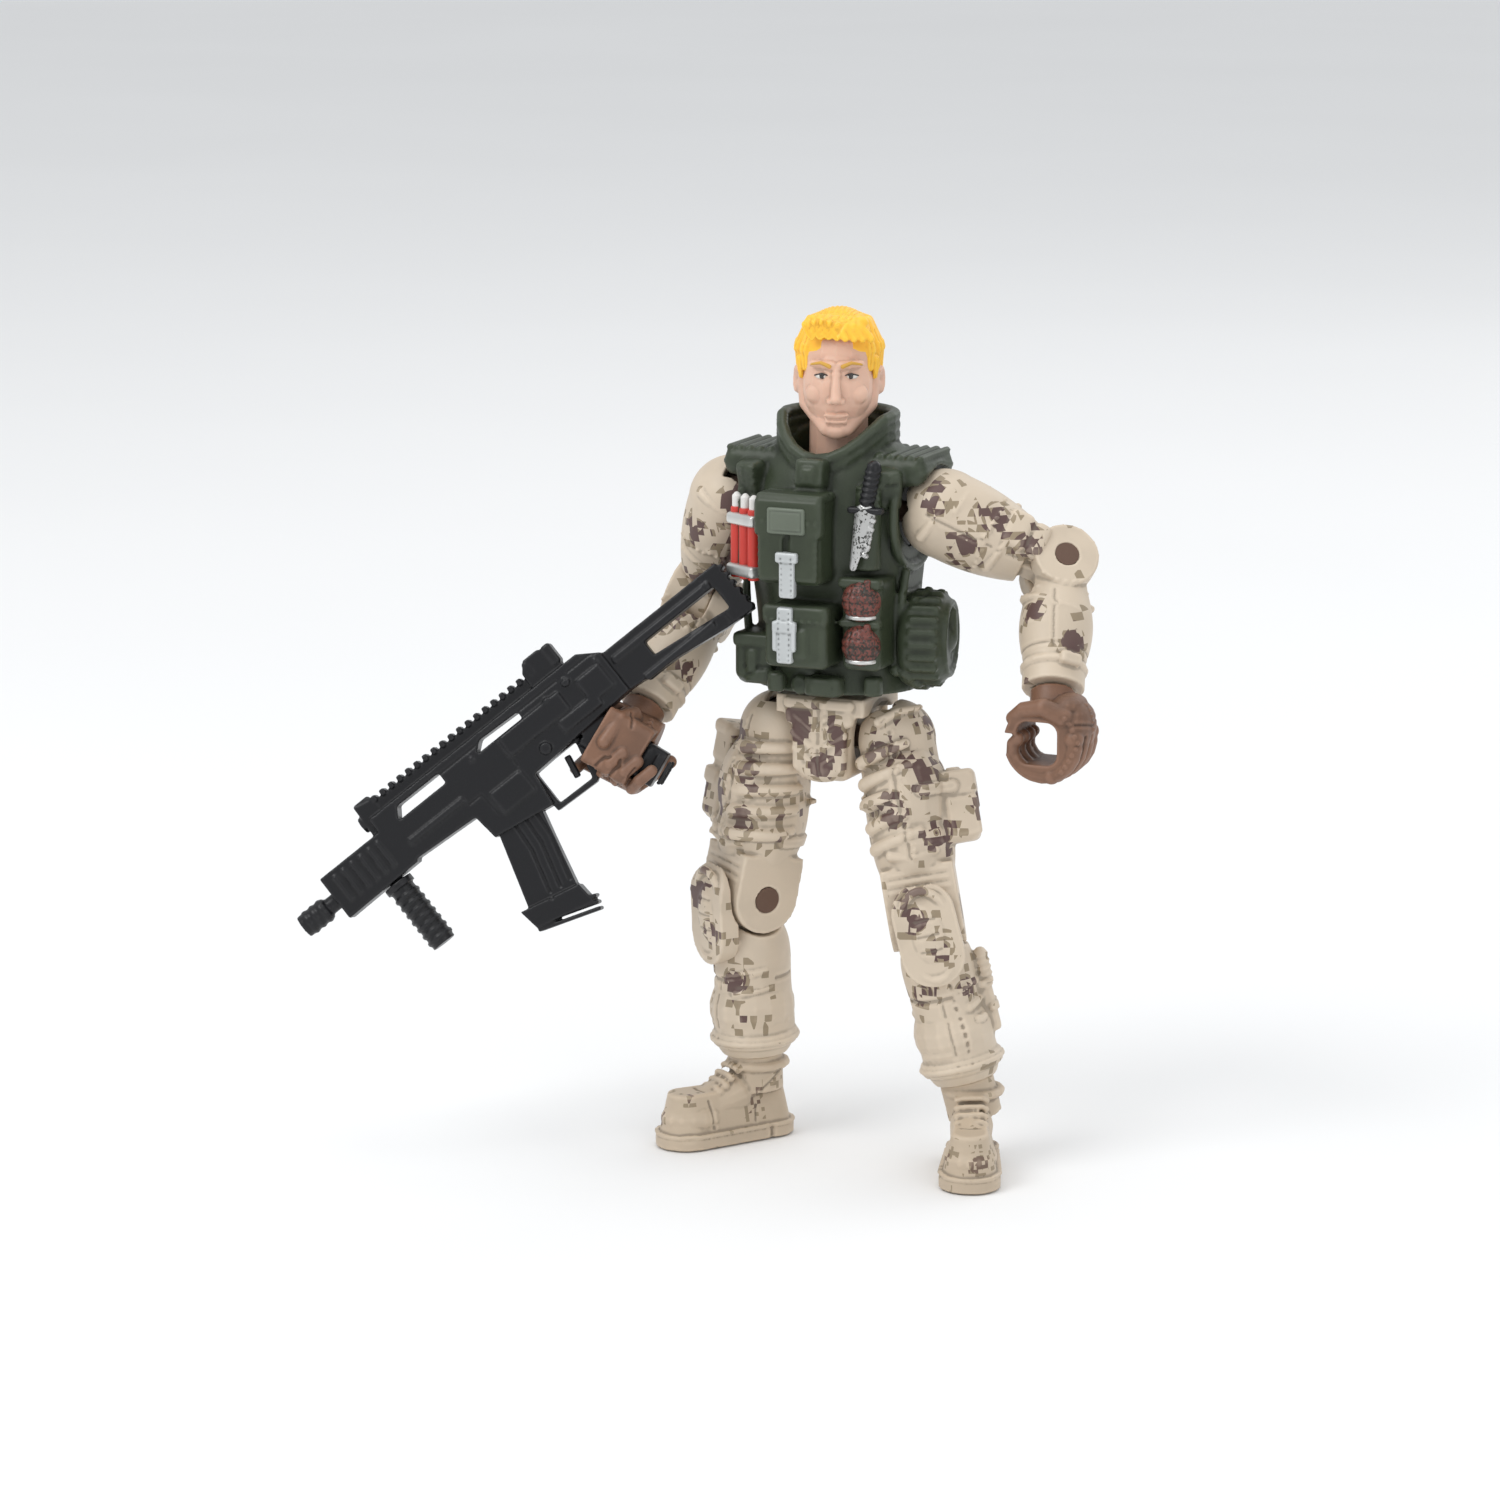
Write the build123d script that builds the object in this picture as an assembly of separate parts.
"""An articulated soldier figure of the four inch class, with its rifle, built as an assembly of moulded pieces.

The figure faces -Y, its left hand is on the +X side, and it stands on Z = 0. Every limb piece is shaped in a frame
of its own: local -Z runs down the limb, local X lies along the hinge at its end, and local -Y is the limb's front.
The frames are seated on the skeleton below, so each joint's pieces share one centre and one axis.
"""

from build123d import *
import os

# ---- Clearances and shared thicknesses ----
RUNNING = 0.06      # radial clearance of a pin or axle in its hole
SIDE_GAP = 0.12     # play each side of a tongue in its slot
DOME_GAP = 0.35     # between a limb's dome and the pocket that it turns in
SKIN_GAP = 0.15     # between the torso and the vest worn over it

# ---- Skeleton heights ----
HIP_HEIGHT = 48.0
KNEE_HEIGHT = 29.0
ANKLE_HEIGHT = 7.0
SHOULDER_HEIGHT = 74.3
NECK_HEIGHT = 81.6      # centre of the ball that the head nods on
CHIN_HEIGHT = 82.4
HEAD_HEIGHT = 14.7      # chin to crown
HEAD_TURN = 20.0        # the head looks this far to the figure's left, in degrees

# ---- Skeleton spans and stance ----
HIP_SPAN = 14.4         # hip centre to hip centre
SHOULDER_SPAN = 26.0
LEFT_KNEE_OUT = Vector(5.0, -3.2, 0)        # knee from hip, seen from above
LEFT_ANKLE_OUT = Vector(5.8, 0.6, 0)        # ankle from knee, seen from above
RIGHT_KNEE_OUT = Vector(-2.9, -2.0, 0)
RIGHT_ANKLE_OUT = Vector(0.6, 0.6, 0)
LEFT_TOE_OUT = 20.0     # how far each foot is turned out, in degrees
RIGHT_TOE_OUT = -36.0
LEFT_UPPER_ARM = Vector(12.2, 4.05, -6.0)   # shoulder to elbow
LEFT_FOREARM = Vector(2.7, -8.55, -12.1)    # elbow to wrist
RIGHT_UPPER_ARM = Vector(-5.3, 3.2, -12.8)
RIGHT_FOREARM = Vector(-2.2, -10.9, -10.4)

# ---- Torso, vest and pelvis ----
VEST_BOTTOM = 54.0
VEST_TOP = 82.0
VEST_SECTIONS = [(0.0, 9.6, 7.6), (0.22, 9.3, 7.2), (0.5, 10.2, 8.2), (0.78, 10.6, 7.9), (0.93, 9.2, 6.2), (1.0, 6.6, 4.2)]
VEST_WALL = 1.6
ARMHOLE_RADIUS = 8.0
ARMHOLE_FLAT = 9.2      # the vest's side is flat round the armhole, this far out
YOKE_HALF_WIDTH = 12.3   # the vest's shoulder straps reach this far out over the shoulder domes
YOKE_ROOT = 4.3          # and start this far out, inside the vest's own shoulders
YOKE_DEPTH = 9.6
YOKE_THICK = 3.4
YOKE_MIDDLE = 79.35
CANTEEN_RADIUS = 5.2
CANTEEN_THICK = 5.4
TORSO_WALL = 1.5
TORSO_TOP = 79.2
COLLAR_RADIUS = 6.7
COLLAR_WALL = 1.3
COLLAR_BACK_TOP = 84.8
COLLAR_SLOPE = 24.0     # the collar falls towards the throat at this angle
PELVIS_HALF_WIDTH = 5.4
PELVIS_HALF_DEPTH = 5.2
PELVIS_BELOW_HIP = 4.6
CROTCH_HALF_WIDTH = 3.5
YOKE_ABOVE_HIP = 3.1    # the pelvis widens to its yoke this far above the hip axle
THIGH_FLAT_GAP = 0.4    # between the crotch and the flat on the thigh's inner side
PELVIS_TOP = 53.2
WAIST_PEG_RADIUS = 2.2
WAIST_FLANGE_RADIUS = 3.2
WAIST_FLANGE_THICK = 1.0
SCREW_RADIUS = 0.9

# ---- Ball joints at hip and shoulder ----
BALL_RADIUS = 3.5
SOCKET_GAP = 0.12       # between a ball and the limb that turns on it
AXLE_RADIUS = 1.2
AXLE_FLANGE_RADIUS = 1.8
AXLE_FLANGE_THICK = 0.8
TONGUE_THICK = 1.5
TONGUE_RADIUS = 1.5
BALL_PIN_RADIUS = 0.5
POST_RADIUS = 1.2
POST_LENGTH = 3.4       # how far the ball's post reaches below the ball
HIP_DOME_RADIUS = 4.6
SHOULDER_DOME_RADIUS = 5.1

# ---- Knees and elbows ----
KNEE_PIN_RADIUS = 1.5
KNEE_CHEEK_RADIUS = 4.0
KNEE_HALF_WIDTH = 4.2
KNEE_TONGUE_HALF = 1.5
ELBOW_PIN_RADIUS = 1.35
ELBOW_CHEEK_RADIUS = 3.7
ELBOW_HALF_WIDTH = 3.9
ELBOW_TONGUE_HALF = 1.3

# ---- Limb sections: share of the length, half width, half depth ----
THIGH_SECTIONS = [(0.0, 4.55, 4.55), (0.28, 4.6, 4.7), (0.56, 4.8, 5.2), (0.8, 4.1, 4.0)]
SHIN_SECTIONS = [(0.165, 3.7, 3.5), (0.4, 4.1, 4.6), (0.68, 4.3, 4.8), (0.8, 4.2, 4.6), (0.87, 3.5, 3.8)]
UPPER_ARM_SECTIONS = [(0.0, 5.0, 5.0), (0.4, 4.7, 4.7), (0.72, 3.5, 3.5)]
FOREARM_SECTIONS = [(0.0, 3.4, 3.3), (0.26, 3.8, 3.6), (0.45, 4.1, 4.1), (0.62, 4.0, 4.0), (0.84, 3.3, 3.3)]
CUFF_RADIUS = 3.5
CUFF_FROM = 0.8         # the cuff starts at this share of the forearm
KNEE_PAD_HALF_WIDTH = 3.6
KNEE_PAD_HEIGHT = 12.0
KNEE_PAD_THICK = 1.5

# ---- Boots ----
BOOT_LENGTH = 17.5
BOOT_HEEL_BACK = 4.6    # ankle axis to the back of the heel
BOOT_HALF_WIDTH = 3.5
HEEL_HALF_WIDTH = 2.9
SOLE_THICK = 1.6
BOOT_UPPER_HEIGHT = 4.6
BOOT_SHAFT_RADIUS = 3.1

# ---- Hands ----
WRIST_PEG_RADIUS = 1.3
WRIST_PEG_LENGTH = 3.4
WRIST_HEAD_RADIUS = 1.8
HAND_REACH = 6.0        # wrist to the middle of the grip
HAND_RADIUS = 4.4
HAND_WIDTH = 6.4
LEFT_GRIP_GAP = 4.8     # free space inside the open left hand
LEFT_GRIP_OUT = 0.5     # the gap's middle, towards the finger tips
LEFT_MOUTH = 2.4        # between the thumb and the finger tips
WRIST_RADIUS = 2.5
FINGER_THICK = 1.4

# ---- Rifle: its own frame is +X to the muzzle, +Z up, +Y its left side, with its origin in its grip ----
RIFLE_FACING = 18.0     # the rifle's left side faces this far round to the figure's left, in degrees
RIFLE_TILT = 12.0       # and looks up by this much
RIFLE_PITCH = 39.7      # muzzle down
RIFLE_OUT = 3.1         # from the wrist's line to the rifle's middle plane
RIFLE_THICK = 3.4
GRIP_THICK = 2.8
GRIP_DEPTH = 4.4
GRIP_LENGTH = 9.5
RECEIVER_BOTTOM = 3.5
GUARD_BACK = 2.9        # back of the trigger guard, ahead of the grip
GRIP_RAKE = 21.0        # the grip slants back by this much, in degrees
GRIP_GAP = 0.12
MAGAZINE_THICK = 2.6
FOREGRIP_RADIUS = 1.45
BARREL_RADIUS = 1.0
PLUG_GAP = 0.05

parts = {}
LEFT, RIGHT = 1, -1
NAMES = {LEFT: "left", RIGHT: "right"}


def square_to(direction, along):
    """The part of a direction that is square to another, one unit long."""
    return (direction - along * direction.dot(along)).normalized()


def seat(origin, up, side):
    """A limb's frame: its origin, its Z up the limb, and its X as near to side as that allows."""
    return Plane(origin, x_dir=square_to(side, up.normalized()), z_dir=up.normalized())


def place(plane, shape):
    """A shape moved from its own frame to where the plane lies."""
    return Location(plane) * shape


def rod(radius, length, start=(0, 0, 0)):
    """A cylinder along +X from a start point."""
    return Pos(*start) * Rot(0, 90, 0) * Cylinder(radius, length, align=(Align.CENTER, Align.CENTER, Align.MIN))


def stem(radius, low, high):
    """A cylinder along Z between two heights."""
    return Pos(0, 0, low) * Cylinder(radius, high - low, align=(Align.CENTER, Align.CENTER, Align.MIN))


def slab(x0, x1, y0, y1, z0, z1):
    """A box between two corners."""
    return Pos((x0 + x1) / 2, (y0 + y1) / 2, (z0 + z1) / 2) * Box(x1 - x0, y1 - y0, z1 - z0)


def tube_of(sections, length, trim=0.0):
    """A limb's outer shape: ellipses down local -Z at shares of its length, made smaller by trim."""
    faces = [Pos(0, 0, -share * length) * Ellipse(a - trim, b - trim) for share, a, b in sections]
    return loft(faces)


def halves(shape, plane):
    """The two shells that a piece is glued together from, in front of and behind a plane."""
    return split(shape, bisect_by=plane, keep=Keep.TOP), split(shape, bisect_by=plane, keep=Keep.BOTTOM)


# ---- Skeleton: points and axes that every piece and every joint share ----
ACROSS = Vector(1, 0, 0)


def spread_of(reach):
    """The hinge of a ball joint: square to the axle across the body, and to the limb that hangs from it."""
    down = Vector(0, reach.Y, reach.Z).normalized()
    return Vector(0, -down.Z, down.Y)


def turned(degrees_out):
    """The direction across a foot that is turned out."""
    return ACROSS.rotate(Axis.Z, degrees_out)


class Leg:
    """A leg's points, its knee hinge and the frames of its pieces."""

    def __init__(self, side, knee_out, ankle_out, toe_out):
        self.side = side
        self.hip = Vector(side * HIP_SPAN / 2, 0, HIP_HEIGHT)
        self.knee = Vector(self.hip.X + knee_out.X, self.hip.Y + knee_out.Y, KNEE_HEIGHT)
        self.ankle = Vector(self.knee.X + ankle_out.X, self.knee.Y + ankle_out.Y, ANKLE_HEIGHT)
        self.toe_out = toe_out
        self.thigh_line = self.knee - self.hip
        self.shin_line = self.ankle - self.knee
        self.spread = spread_of(self.thigh_line)
        self.hinge = square_to(turned(toe_out), self.thigh_line.normalized())
        self.thigh = seat(self.hip, -self.thigh_line, self.hinge)
        self.shin = seat(self.knee, -self.shin_line, self.hinge)
        self.tongue = Plane(self.knee, x_dir=self.hinge, z_dir=square_to(-self.shin_line, self.hinge))


class Arm:
    """An arm's points, its elbow hinge and the frames of its pieces."""

    def __init__(self, side, upper_arm, forearm):
        self.side = side
        self.shoulder = Vector(side * SHOULDER_SPAN / 2, 0, SHOULDER_HEIGHT)
        self.elbow = self.shoulder + upper_arm
        self.wrist = self.elbow + forearm
        self.upper_line = upper_arm
        self.fore_line = forearm
        self.spread = spread_of(upper_arm)
        self.hinge = upper_arm.cross(forearm).normalized()
        self.upper = seat(self.shoulder, -upper_arm, self.hinge)
        self.fore = seat(self.elbow, -forearm, self.hinge)


legs = {
    LEFT: Leg(LEFT, LEFT_KNEE_OUT, LEFT_ANKLE_OUT, LEFT_TOE_OUT),
    RIGHT: Leg(RIGHT, RIGHT_KNEE_OUT, RIGHT_ANKLE_OUT, RIGHT_TOE_OUT),
}
arms = {
    LEFT: Arm(LEFT, LEFT_UPPER_ARM, LEFT_FOREARM),
    RIGHT: Arm(RIGHT, RIGHT_UPPER_ARM, RIGHT_FOREARM),
}

# The rifle's frame: its left side looks out past the figure's front, and its muzzle points down to the right.
rifle_left = Vector(0, -1, 0).rotate(Axis.X, -RIFLE_TILT).rotate(Axis.Z, RIFLE_FACING)
rifle_level = Vector(-1, 0, 0).rotate(Axis.Z, RIFLE_FACING)
rifle_muzzle = rifle_level.rotate(Axis(Vector(0, 0, 0), rifle_left), RIFLE_PITCH)
fist = arms[RIGHT].wrist + RIGHT_FOREARM.normalized() * HAND_REACH
rifle = Plane(fist + rifle_left * RIFLE_OUT, x_dir=rifle_muzzle, z_dir=rifle_left.cross(rifle_muzzle) * -1)
grip_down = (rifle.z_dir * -1).rotate(Axis(Vector(0, 0, 0), rifle_left), GRIP_RAKE)


# ---- Ball joints ----
def ball_frame(centre, reach, spread):
    """A ball's frame: Z up its limb, Y along the pin that it tilts on."""
    up = -reach.normalized()
    return Plane(centre, x_dir=spread.cross(up), z_dir=up)


def axle(centre, side, spread, root):
    """The axle across the body: a flange inside it, and a flat tongue in the ball."""
    reach = abs(centre.X) - root
    tongue = Rot(90, 0, 0) * Cylinder(TONGUE_RADIUS, TONGUE_THICK)
    neck_end = BALL_RADIUS + DOME_GAP
    tongue += slab(-neck_end, 0, -TONGUE_THICK / 2, TONGUE_THICK / 2, -AXLE_RADIUS, AXLE_RADIUS)
    tongue -= Rot(90, 0, 0) * Cylinder(BALL_PIN_RADIUS + RUNNING, 2 * TONGUE_THICK)
    shaft = rod(AXLE_RADIUS, reach - neck_end, (-reach, 0, 0))
    flange = rod(AXLE_FLANGE_RADIUS, AXLE_FLANGE_THICK, (-reach, 0, 0))
    frame = Plane(centre, x_dir=ACROSS * side, z_dir=(ACROSS * side).cross(spread))
    return place(frame, tongue + shaft + flange)


def ball(centre, side, reach, spread):
    """A ball slotted for the axle's tongue, with the post that its limb swivels on."""
    size = BALL_RADIUS
    half_slot = TONGUE_THICK / 2 + SIDE_GAP
    low = -TONGUE_RADIUS - 0.9
    body = Sphere(size) + stem(POST_RADIUS, -size - POST_LENGTH, 0)
    inner = TONGUE_RADIUS + SIDE_GAP
    slot = slab(-size - 1, inner, -half_slot, half_slot, low, size + 1)
    if side == RIGHT:
        slot = slab(-inner, size + 1, -half_slot, half_slot, low, size + 1)
    body -= slot
    body -= Rot(90, 0, 0) * Cylinder(BALL_PIN_RADIUS, 3 * size)
    return place(ball_frame(centre, reach, spread), body)


def ball_pin(centre, reach, spread):
    """The pin through a ball and its tongue."""
    length = 2 * (BALL_RADIUS**2 - BALL_PIN_RADIUS**2) ** 0.5 - 0.2
    return place(ball_frame(centre, reach, spread), Rot(90, 0, 0) * Cylinder(BALL_PIN_RADIUS, length))


def dome_cut(side, dome):
    """What a limb's dome leaves out: the ball, its post, and the window that the axle moves in."""
    window = slab(-dome - 1, 1.2, -2.9, 2.9, -1.9, dome + 1)
    if side == RIGHT:
        window = slab(-1.2, dome + 1, -2.9, 2.9, -1.9, dome + 1)
    post = stem(POST_RADIUS + RUNNING, -BALL_RADIUS - POST_LENGTH - 0.3, 0)
    return Sphere(BALL_RADIUS + SOCKET_GAP) + post + window


# ---- Pieces of the trunk ----
def trunk(bottom, top, inset):
    """The body's barrel, taken in by an inset, between two heights of the vest's own outline."""
    height = VEST_TOP - VEST_BOTTOM
    faces = [Pos(0, 0, VEST_BOTTOM + s * height) * Ellipse(a - inset, b - inset) for s, a, b in VEST_SECTIONS]
    return loft(faces) & slab(-20, 20, -20, 20, bottom, top)


def armholes(radius):
    """The round pockets that the shoulder domes turn in."""
    return [Pos(*arms[s].shoulder) * Sphere(radius) for s in (LEFT, RIGHT)]


def build_torso():
    """Two torso shells screwed together round the axles' flanges, the waist peg and the neck post."""
    shell = trunk(VEST_BOTTOM, TORSO_TOP, VEST_WALL + SKIN_GAP)
    cavity = trunk(VEST_BOTTOM + TORSO_WALL, TORSO_TOP - TORSO_WALL, VEST_WALL + TORSO_WALL + SKIN_GAP)
    shoulder_wall = SHOULDER_SPAN / 2 - SHOULDER_DOME_RADIUS - DOME_GAP - TORSO_WALL
    cavity &= slab(-shoulder_wall, shoulder_wall, -20, 20, 0, 100)
    bosses = [Pos(0, 0, z) * Rot(90, 0, 0) * Cylinder(2 * SCREW_RADIUS, 20) for z in SCREW_HEIGHTS]
    cavity -= bosses
    shell -= cavity
    shell -= armholes(SHOULDER_DOME_RADIUS + DOME_GAP)
    shell -= rod(AXLE_RADIUS + RUNNING, SHOULDER_SPAN, (-SHOULDER_SPAN / 2, 0, SHOULDER_HEIGHT))
    shell -= stem(WAIST_PEG_RADIUS + RUNNING, VEST_BOTTOM - 1, VEST_BOTTOM + TORSO_WALL + 1)
    shell -= stem(NECK_POST_RADIUS + RUNNING, TORSO_TOP - TORSO_WALL - 1, TORSO_TOP + 1)
    screws = []
    for z in SCREW_HEIGHTS:
        shaft = Pos(0, 0, z) * Rot(-90, 0, 0) * Cylinder(SCREW_RADIUS, SCREW_LENGTH)
        deep = SCREW_LENGTH / 2
        head = Pos(0, deep, z) * Rot(-90, 0, 0) * Cylinder(1.6 * SCREW_RADIUS, 0.9)
        screws.append(shaft + head)
        shell -= screws[-1]
        shell -= Pos(0, deep, z) * Rot(-90, 0, 0) * Cylinder(1.6 * SCREW_RADIUS + RUNNING, 20, align=(Align.CENTER, Align.CENTER, Align.MIN))
    back, front = halves(shell, Plane((0, 0, 0), x_dir=(1, 0, 0), z_dir=(0, 1, 0)))
    parts["torso_front"] = front
    parts["torso_back"] = back
    parts["torso_screws"] = Compound(children=screws)


SCREW_HEIGHTS = (62.0, 69.0)
SCREW_LENGTH = 7.0
NECK_POST_RADIUS = 1.3
NECK_BALL_RADIUS = 2.1
NECK_FLANGE_RADIUS = 2.2


def pad(x, y, z, wide, deep, high, corner=0.8):
    """A pouch: a rounded block, given by its middle and its size."""
    block = Box(wide, deep, high)
    return Pos(x, y, z) * fillet(block.edges(), corner)


def build_vest():
    """The soft vest's front and back mouldings, with their pouches, over the torso."""
    outer = trunk(VEST_BOTTOM, VEST_TOP, 0)
    collar = stem(COLLAR_RADIUS, TORSO_TOP - 1, COLLAR_BACK_TOP)
    slope = Plane((0, COLLAR_RADIUS, COLLAR_BACK_TOP), x_dir=(1, 0, 0), z_dir=Vector(0, 0, 1).rotate(Axis.X, COLLAR_SLOPE))
    collar = split(collar, bisect_by=slope, keep=Keep.BOTTOM)
    front_y = -VEST_SECTIONS[2][2]
    outer += collar
    outer += pad(-1.0, front_y - 0.6, 72.0, 7.6, 6.4, 9.8)          # chest pouch
    outer += pad(-0.3, front_y - 0.3, 61.1, 7.6, 6.4, 7.0)          # belly pouch
    outer += pad(6.6, front_y + 1.6, 62.6, 4.6, 5.4, 10.4)          # two grenade pockets, one above the other
    outer += pad(-7.2, -5.2, 57.8, 4.6, 5.2, 5.6)                   # pouch on the right of the belly
    outer += pad(-7.6, -5.2, 71.6, 3.6, 4.6, 8.4)                   # flare holder
    canteen = Rot(0, 90, 0) * Cylinder(CANTEEN_RADIUS, CANTEEN_THICK)
    canteen = fillet(canteen.edges(), 1.4)
    outer += Pos(11.2, -0.7, 60.2) * Rot(0, 0, 12) * canteen        # round canteen pouch on the left hip
    outer += Pos(6.7, front_y + 1.0, 73.4) * Cylinder(1.45, 9.4)     # knife in its sheath
    outer -= trunk(VEST_BOTTOM - 1, TORSO_TOP + SKIN_GAP, VEST_WALL)
    outer -= armholes(SHOULDER_DOME_RADIUS + DOME_GAP + 0.1)
    for side in (LEFT, RIGHT):
        flat = Pos(side * (ARMHOLE_FLAT + 5), 0, SHOULDER_HEIGHT - 1) * Rot(0, 90, 0) * Cylinder(ARMHOLE_RADIUS, 10)
        outer -= flat
        strap = pad(side * (YOKE_ROOT + YOKE_HALF_WIDTH) / 2, 0, YOKE_MIDDLE, YOKE_HALF_WIDTH - YOKE_ROOT, YOKE_DEPTH, YOKE_THICK, 1.3)
        strap -= Pos(*arms[side].shoulder) * Sphere(SHOULDER_DOME_RADIUS + DOME_GAP + 0.2)
        strap -= trunk(VEST_BOTTOM, TORSO_TOP + SKIN_GAP, VEST_WALL)
        outer += strap
    outer -= stem(COLLAR_RADIUS - COLLAR_WALL, TORSO_TOP, COLLAR_BACK_TOP + 1)
    back, front = halves(outer, Plane((0, 0, 0), x_dir=(1, 0, 0), z_dir=(0, 1, 0)))
    parts["vest_front"] = front
    parts["vest_back"] = back


def build_neck_and_head():
    """The neck post turns in the torso, and the head nods on its ball."""
    bottom = TORSO_TOP - TORSO_WALL - 1.2
    post = stem(NECK_POST_RADIUS, bottom, NECK_HEIGHT) + stem(NECK_FLANGE_RADIUS, bottom, bottom + 0.9)
    post += Pos(0, 0, NECK_HEIGHT) * Sphere(NECK_BALL_RADIUS)
    parts["neck_post"] = post
    sections = [
        (0.0, 2.2, 2.6, -2.0), (0.16, 3.6, 4.4, -0.9), (0.4, 4.2, 5.2, -0.3),
        (0.66, 4.4, 5.4, 0.0), (0.87, 3.7, 4.5, 0.3), (1.0, 1.8, 2.4, 0.4),
    ]
    faces = [Pos(0, y, CHIN_HEIGHT + share * HEAD_HEIGHT) * Ellipse(a, b) for share, a, b, y in sections]
    head = loft(faces) + stem(3.4, TORSO_TOP + 0.9, CHIN_HEIGHT + 3)
    head += Pos(0, -5.0, CHIN_HEIGHT + 0.36 * HEAD_HEIGHT) * Rot(14, 0, 0) * Cone(0.9, 0.35, 3.0)      # nose
    for side in (LEFT, RIGHT):
        head += Pos(side * 4.3, 0.6, CHIN_HEIGHT + 0.45 * HEAD_HEIGHT) * Cylinder(0.8, 2.6)
    head -= Pos(0, 0, NECK_HEIGHT) * Sphere(NECK_BALL_RADIUS + RUNNING)
    mouth_height = NECK_HEIGHT - TORSO_TOP
    head -= Pos(0, 0, NECK_HEIGHT - mouth_height / 2) * Cone(2.9, NECK_POST_RADIUS + 0.2, mouth_height)
    parts["head"] = Rot(0, 0, HEAD_TURN) * head


def build_pelvis():
    """Two pelvis shells round the hip axles' flanges, with the waist peg that turns in the torso."""
    low = HIP_HEIGHT - PELVIS_BELOW_HIP
    half_depth = PELVIS_HALF_DEPTH
    yoke = slab(-PELVIS_HALF_WIDTH, PELVIS_HALF_WIDTH, -half_depth, half_depth, HIP_HEIGHT + YOKE_ABOVE_HIP, PELVIS_TOP)
    crotch = slab(-CROTCH_HALF_WIDTH, CROTCH_HALF_WIDTH, -half_depth, half_depth, low, PELVIS_TOP)
    crotch = fillet(crotch.edges().filter_by(Axis.Y).sort_by(Axis.Z)[:2], 1.4)
    crotch = fillet(crotch.edges().filter_by(Axis.X).sort_by(Axis.Z)[:2], 1.4)
    block = yoke + crotch
    block -= [Pos(*legs[s].hip) * Sphere(HIP_DOME_RADIUS + DOME_GAP) for s in (LEFT, RIGHT)]
    cavity_half = AXLE_FLANGE_THICK + 0.35
    block -= rod(AXLE_FLANGE_RADIUS + RUNNING, 2 * cavity_half, (-cavity_half, 0, HIP_HEIGHT))
    block -= rod(AXLE_RADIUS + RUNNING, HIP_SPAN, (-HIP_SPAN / 2, 0, HIP_HEIGHT))
    peg_low = HIP_HEIGHT + AXLE_FLANGE_RADIUS + 0.8
    flange_low = VEST_BOTTOM + TORSO_WALL + 0.1
    peg = stem(WAIST_PEG_RADIUS, peg_low, flange_low) + stem(WAIST_FLANGE_RADIUS, flange_low, flange_low + WAIST_FLANGE_THICK)
    block -= stem(WAIST_PEG_RADIUS, peg_low, PELVIS_TOP + 1)
    back, front = halves(block, Plane((0, 0, 0), x_dir=(1, 0, 0), z_dir=(0, 1, 0)))
    parts["pelvis_front"] = front
    parts["pelvis_back"] = back
    parts["waist_peg"] = peg


# ---- Limbs ----
def build_ball_joint(name, centre, side, reach, spread, root):
    """The three pieces of a hip or shoulder joint."""
    parts[f"{name}_axle_{NAMES[side]}"] = axle(centre, side, spread, root)
    parts[f"{name}_ball_{NAMES[side]}"] = ball(centre, side, reach, spread)
    parts[f"{name}_pin_{NAMES[side]}"] = ball_pin(centre, reach, spread)


def limb_frame_cut(frame, centre, reach, spread, cut):
    """A cut made in the ball's frame, brought into the limb's own frame."""
    world = place(ball_frame(centre, reach, spread), cut)
    return Location(frame).inverse() * world


def build_thigh(leg):
    """Two thigh shells, forked round the shin's tongue, with the knee pin."""
    length = leg.thigh_line.length
    body = tube_of(THIGH_SECTIONS, length) + Sphere(HIP_DOME_RADIUS)
    cheeks = rod(KNEE_CHEEK_RADIUS, 2 * KNEE_HALF_WIDTH, (-KNEE_HALF_WIDTH, 0, -length))
    block = slab(-KNEE_HALF_WIDTH, KNEE_HALF_WIDTH, -KNEE_CHEEK_RADIUS, KNEE_CHEEK_RADIUS, -length, -0.74 * length)
    outward = leg.side
    pouch_x = outward * (THIGH_SECTIONS[1][1] + 0.9)
    pouch = pad(pouch_x, -0.2, -0.44 * length, 4.6, 6.6, 8.2, 0.9)
    body += cheeks + block + pouch
    half_slot = KNEE_TONGUE_HALF + SIDE_GAP
    body -= slab(-half_slot, half_slot, -10, 10, -length - 10, -length + KNEE_CHEEK_RADIUS + DOME_GAP)
    body -= rod(KNEE_PIN_RADIUS, 20, (-10, 0, -length))
    body -= limb_frame_cut(leg.thigh, leg.hip, leg.thigh_line, leg.spread, dome_cut(leg.side, HIP_DOME_RADIUS))
    inner_side = leg.side * (CROTCH_HALF_WIDTH + THIGH_FLAT_GAP - 5)
    body -= Location(leg.thigh).inverse() * (Pos(inner_side, 0, HIP_HEIGHT) * Box(10, 40, 40))
    inner, outer = halves(body, Plane((0, 0, 0), x_dir=(1, 0, 0), z_dir=(0, 1, 0)))
    name = NAMES[leg.side]
    parts[f"thigh_back_{name}"] = place(leg.thigh, inner)
    parts[f"thigh_front_{name}"] = place(leg.thigh, outer)
    pin = rod(KNEE_PIN_RADIUS, 2 * KNEE_HALF_WIDTH, (-KNEE_HALF_WIDTH, 0, -length))
    parts[f"knee_pin_{name}"] = place(leg.thigh, pin)


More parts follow.
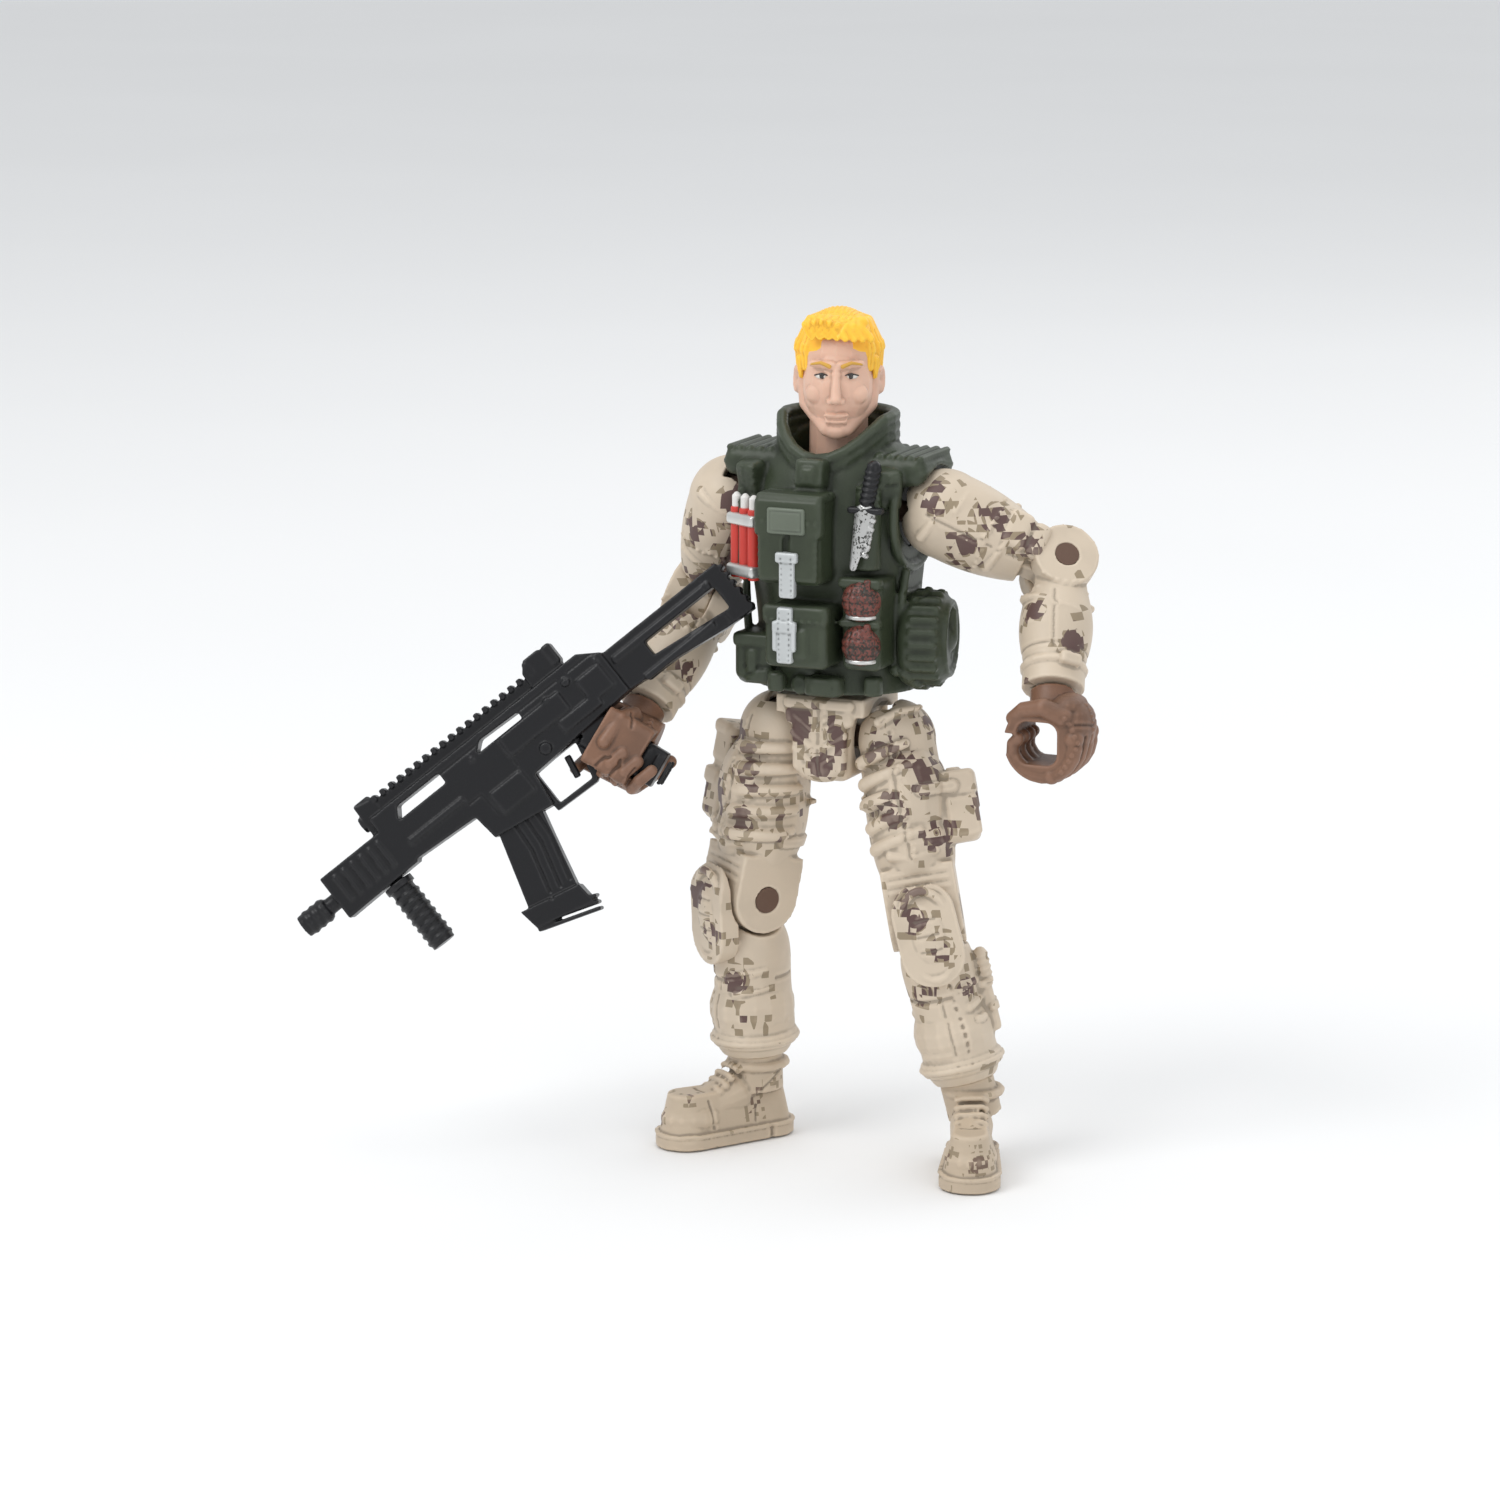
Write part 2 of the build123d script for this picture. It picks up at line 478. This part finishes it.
def boot_outline(half_width, heel_half, front, back):
    """A boot's outline seen from above, with a round toe and a round heel."""
    toe = front - half_width
    with BuildSketch() as sketch:
        with BuildLine():
            Line((-heel_half, back - heel_half), (-half_width, -toe))
            ThreePointArc((-half_width, -toe), (0, -front), (half_width, -toe))
            Line((half_width, -toe), (heel_half, back - heel_half))
            ThreePointArc((heel_half, back - heel_half), (0, back), (-heel_half, back - heel_half))
        make_face()
    return sketch.sketch


def build_shin(leg):
    """Two trouser shells with the knee's tongue, the knee pad on their front, and the boot below."""
    name = NAMES[leg.side]
    length = leg.shin_line.length
    to_tongue = Location(leg.shin).inverse() * Location(leg.tongue)
    body = tube_of(SHIN_SECTIONS, length)
    body -= to_tongue * rod(KNEE_CHEEK_RADIUS + DOME_GAP, 30, (-15, 0, 0))
    tongue = rod(KNEE_CHEEK_RADIUS - 0.5, 2 * KNEE_TONGUE_HALF, (-KNEE_TONGUE_HALF, 0, 0))
    tongue += slab(-KNEE_TONGUE_HALF, KNEE_TONGUE_HALF, -2.9, 2.9, -0.32 * length, 0)
    body += to_tongue * tongue
    body -= to_tongue * rod(KNEE_PIN_RADIUS + RUNNING, 20, (-10, 0, 0))
    back, front = halves(body, Plane((0, 0, 0), x_dir=(1, 0, 0), z_dir=(0, 1, 0)))

    pad_front = KNEE_CHEEK_RADIUS + DOME_GAP + KNEE_PAD_THICK
    profile = SlotOverall(KNEE_PAD_HEIGHT, 2 * KNEE_PAD_HALF_WIDTH, rotation=90)
    plate = extrude(Plane((0, 0, -1.8), x_dir=(1, 0, 0), z_dir=(0, -1, 0)) * profile, amount=pad_front)
    plate &= to_tongue * (rod(pad_front, 30, (-15, 0, 0)) + slab(-15, 15, -pad_front, 0, -20, 0))
    plate -= to_tongue * rod(KNEE_CHEEK_RADIUS + DOME_GAP, 30, (-15, 0, 0))
    plate -= to_tongue * slab(-15, 15, -KNEE_CHEEK_RADIUS - DOME_GAP, 10, 0, 20)
    plate -= slab(-15, 15, -KNEE_CHEEK_RADIUS + 0.5, 10, -20, 20)
    plate -= tube_of(SHIN_SECTIONS, length)
    plate -= to_tongue * tongue
    parts[f"shin_front_{name}"] = place(leg.shin, front)
    parts[f"shin_back_{name}"] = place(leg.shin, back)
    parts[f"knee_pad_{name}"] = place(leg.shin, plate)

    flat = Plane((leg.ankle.X, leg.ankle.Y, 0), x_dir=turned(leg.toe_out), z_dir=(0, 0, 1))
    toe_front = BOOT_LENGTH - BOOT_HEEL_BACK
    sole = extrude(boot_outline(BOOT_HALF_WIDTH, HEEL_HALF_WIDTH, toe_front, BOOT_HEEL_BACK), amount=SOLE_THICK)
    lip = 0.45
    upper = extrude(
        boot_outline(BOOT_HALF_WIDTH - lip, HEEL_HALF_WIDTH - lip, toe_front - lip, BOOT_HEEL_BACK - lip),
        amount=BOOT_UPPER_HEIGHT,
        taper=12,
    )
    boot = place(flat, sole + Pos(0, 0, SOLE_THICK) * upper)
    shaft_top = -SHIN_SECTIONS[-1][0] * length
    shaft = stem(BOOT_SHAFT_RADIUS, -length - 1.5, shaft_top)
    parts[f"boot_{name}"] = boot + place(leg.shin, shaft)


def build_arm(arm):
    """Two upper arm shells with the elbow's tongue, two forked forearm shells, and the elbow pin."""
    name = NAMES[arm.side]
    length = arm.upper_line.length
    body = tube_of(UPPER_ARM_SECTIONS, length) + Sphere(SHOULDER_DOME_RADIUS)
    body -= rod(ELBOW_CHEEK_RADIUS + DOME_GAP, 30, (-15, 0, -length))
    tongue = rod(ELBOW_CHEEK_RADIUS - 0.5, 2 * ELBOW_TONGUE_HALF, (-ELBOW_TONGUE_HALF, 0, -length))
    tongue += slab(-ELBOW_TONGUE_HALF, ELBOW_TONGUE_HALF, -2.4, 2.4, -length, -0.6 * length)
    body += tongue
    body -= rod(ELBOW_PIN_RADIUS + RUNNING, 20, (-10, 0, -length))
    body -= limb_frame_cut(
        arm.upper, arm.shoulder, arm.upper_line, arm.spread, dome_cut(arm.side, SHOULDER_DOME_RADIUS)
    )
    back, front = halves(body, Plane((0, 0, 0), x_dir=(1, 0, 0), z_dir=(0, 1, 0)))
    parts[f"upper_arm_front_{name}"] = place(arm.upper, front)
    parts[f"upper_arm_back_{name}"] = place(arm.upper, back)

    length = arm.fore_line.length
    fore = tube_of(FOREARM_SECTIONS, length)
    fore += rod(ELBOW_CHEEK_RADIUS, 2 * ELBOW_HALF_WIDTH, (-ELBOW_HALF_WIDTH, 0, 0))
    fore += stem(CUFF_RADIUS, -length, -CUFF_FROM * length)
    half_slot = ELBOW_TONGUE_HALF + SIDE_GAP
    fore -= slab(-half_slot, half_slot, -10, 10, -ELBOW_CHEEK_RADIUS - DOME_GAP, 10)
    fore -= rod(ELBOW_PIN_RADIUS, 20, (-10, 0, 0))
    fore -= stem(WRIST_PEG_RADIUS + RUNNING, -length - 1, -length + WRIST_PEG_LENGTH + 0.3)
    fore -= stem(WRIST_HEAD_RADIUS + RUNNING, -length + WRIST_PEG_LENGTH - 1.1, -length + WRIST_PEG_LENGTH + 0.3)
    outer, inner = halves(fore, Plane((0, 0, 0), x_dir=(0, 0, 1), z_dir=(0, 1, 0)))
    parts[f"forearm_back_{name}"] = place(arm.fore, outer)
    parts[f"forearm_front_{name}"] = place(arm.fore, inner)
    pin = rod(ELBOW_PIN_RADIUS, 2 * ELBOW_HALF_WIDTH, (-ELBOW_HALF_WIDTH, 0, 0))
    parts[f"elbow_pin_{name}"] = place(arm.fore, pin)


def wrist_end(arm):
    """The wrist above a fist, with the headed peg that turns in the cuff, in the forearm's frame."""
    wrist = -arm.fore_line.length
    palm = stem(WRIST_RADIUS, wrist - HAND_REACH, wrist - 0.3)
    peg = stem(WRIST_PEG_RADIUS, wrist - 1, wrist + WRIST_PEG_LENGTH)
    head = stem(WRIST_HEAD_RADIUS, wrist + WRIST_PEG_LENGTH - 1, wrist + WRIST_PEG_LENGTH)
    return palm + peg + head


def build_hands():
    """The open left hand, and the right hand closed round the rifle's grip."""
    left = arms[LEFT]
    level = Plane(left.wrist + LEFT_FOREARM.normalized() * HAND_REACH, x_dir=(0, 1, 0), z_dir=(0, 0, 1))
    fist_block = place(level, rod(HAND_RADIUS, HAND_WIDTH, (-HAND_WIDTH / 2, 0, 0)))
    gap_block = Box(2 * HAND_WIDTH, LEFT_GRIP_GAP, LEFT_GRIP_GAP)
    gap_block = Pos(0, LEFT_GRIP_OUT, 0) * fillet(gap_block.edges().filter_by(Axis.X), 1.3)
    mouth = slab(-HAND_WIDTH, HAND_WIDTH, LEFT_GRIP_OUT, 10, -LEFT_MOUTH / 2 - 0.3, LEFT_MOUTH / 2 - 0.3)
    parts["hand_left"] = fist_block + place(left.fore, wrist_end(left)) - place(level, gap_block + mouth)

    right = arms[RIGHT]
    frame = seat(fist, -right.fore_line, grip_down)
    hand = place(frame, rod(HAND_RADIUS, HAND_WIDTH, (-HAND_WIDTH / 2, 0, 0))) + place(right.fore, wrist_end(right))
    fingers = Box(GRIP_THICK + 2 * FINGER_THICK, GRIP_DEPTH + 2 * FINGER_THICK, HAND_WIDTH - 0.6)
    fingers = fillet(fingers.edges().filter_by(Axis.Z), 1.2)
    hole = Box(GRIP_THICK + 2 * GRIP_GAP, GRIP_DEPTH + 2 * GRIP_GAP, 60)
    hand = hand + place(grip_plane(), fingers) - place(grip_plane(), hole)
    half_thick = RIFLE_THICK / 2 + GRIP_GAP
    hand -= place(rifle, slab(-30, 30, -half_thick, half_thick, RECEIVER_BOTTOM - GRIP_GAP, 30))
    hand -= place(rifle, slab(GUARD_BACK - GRIP_GAP, 30, -half_thick, half_thick, -4, 30))
    parts["hand_right"] = hand


def grip_plane():
    """The grip's frame: Z up the grip, X across the rifle."""
    return Plane(rifle.origin, x_dir=rifle.y_dir, z_dir=-grip_down)


# ---- Rifle ----
def plate(points, thick):
    """A flat piece of the rifle, from its outline in the rifle's side view."""
    face = make_face(Polyline(*[(x, z) for x, z in points], close=True))
    return Rot(90, 0, 0) * extrude(face, amount=thick / 2, both=True)


def build_rifle():
    """The toy rifle's body, with its magazine and front grip pressed in."""
    receiver = plate([(-5, 4.2), (-5, 9.6), (-2.6, 11.2), (27.5, 11.2), (27.5, 4.4), (11, 3.4), (6, 3.6)], RIFLE_THICK)
    handguard = plate([(26, 4), (26, 9.4), (36.2, 9.4), (36.2, 3.8)], RIFLE_THICK)
    rail = plate([(3.6, 11.2), (3.6, 12.6), (26.4, 12.6), (26.4, 11.2)], 1.8)
    rear_sight = plate([(-0.8, 11), (-0.4, 13.6), (0.6, 14.4), (2.6, 14.4), (3.6, 13.2), (3.6, 11)], 2.4)
    front_sight = plate([(25.8, 11), (25.8, 13), (28.2, 13.4), (28.4, 8), (26, 8)], 2.2)
    barrel = rod(BARREL_RADIUS, 7, (34, 0, 6.4)) + rod(1.35 * BARREL_RADIUS, 2.8, (38.4, 0, 6.4))
    stock = plate([(-5, 4.2), (-5, 9.4), (-9, 9.4), (-21.4, 9.4), (-21.8, 2.6), (-18, 2.8), (-12, 3.6)], 2.4)
    stock -= plate([(-9.6, 7.4), (-9.6, 5.6), (-19.6, 4.4), (-19.6, 7.4)], 10)
    well = plate([(9.4, 4), (17.8, 4), (17.4, 0.6), (9.8, -0.6)], RIFLE_THICK)
    guard = plate([(3, 3.8), (10, 3.8), (10, -1.4), (4.4, -1.6), (3, -0.4)], 1.6)
    guard -= plate([(3.6, 3.5), (9.3, 3.5), (9.3, -0.8), (4.6, -0.9)], 5)
    slots = plate([(6.6, 9.3), (6.6, 10.2), (12, 10.4), (13.4, 9.3)], 10) + plate([(18, 9), (18, 10.4), (24, 10.4), (25, 9)], 10)
    body = receiver + handguard + rail + rear_sight + front_sight + barrel + stock + well + guard
    body -= slots
    grip = Box(GRIP_THICK, GRIP_DEPTH, GRIP_LENGTH)
    to_rifle = Location(rifle).inverse()
    grip = to_rifle * place(grip_plane(), Pos(0, 0, GRIP_LENGTH / 2 - 5.4) * fillet(grip.edges().filter_by(Axis.Z), 0.6))
    body += grip

    magazine_top = 2.4
    magazine = plate([(10.7, 2.4), (16.4, 2.4), (19.8, -9.2), (13.8, -10.8)], MAGAZINE_THICK)
    magazine += plate([(13.2, -9.4), (20.4, -7.8), (20.0, -10.4), (13.0, -12.0)], MAGAZINE_THICK + 0.8)
    gap = PLUG_GAP
    body -= plate(
        [(10.7 - gap, magazine_top + gap), (16.4 + gap, magazine_top + gap), (17.4 + gap, -1), (11.5 - gap, -1.4)],
        MAGAZINE_THICK + 2 * gap,
    )
    collar = Pos(29.6, 0, 0) * stem(1.25 * FOREGRIP_RADIUS, 2.9, 3.7)
    plug = Pos(29.6, 0, 0) * stem(0.6 * FOREGRIP_RADIUS, 3.6, 5.6)
    foregrip = Pos(29.6, 0, 0) * stem(FOREGRIP_RADIUS, -5.0, 3.2) + collar
    body -= Pos(29.6, 0, 0) * stem(0.6 * FOREGRIP_RADIUS + gap, 3.0, 5.7)
    parts["rifle_body"] = place(rifle, body)
    parts["rifle_magazine"] = place(rifle, magazine)
    parts["rifle_foregrip"] = place(rifle, foregrip + plug)


def main():
    """Builds every piece, brings the origin to the middle of the footprint, and writes the parts."""
    build_torso()
    build_vest()
    build_neck_and_head()
    build_pelvis()
    for leg in legs.values():
        build_ball_joint("hip", leg.hip, leg.side, leg.thigh_line, leg.spread, 0.15)
        build_thigh(leg)
        build_shin(leg)
    shoulder_root = SHOULDER_SPAN / 2 - SHOULDER_DOME_RADIUS - DOME_GAP - TORSO_WALL - AXLE_FLANGE_THICK - 0.1
    for arm in arms.values():
        build_ball_joint("shoulder", arm.shoulder, arm.side, arm.upper_line, arm.spread, shoulder_root)
        build_arm(arm)
    build_hands()
    build_rifle()
    whole = Compound(children=[Compound(children=[s]) for part in parts.values() for s in part.solids()])
    box = whole.bounding_box()
    middle = Vector(-(box.min.X + box.max.X) / 2, -(box.min.Y + box.max.Y) / 2, -box.min.Z)
    os.makedirs("parts", exist_ok=True)
    for name, part in parts.items():
        export_step(Pos(*middle) * part, f"parts/{name}.step")
    return middle


origin_shift = main()
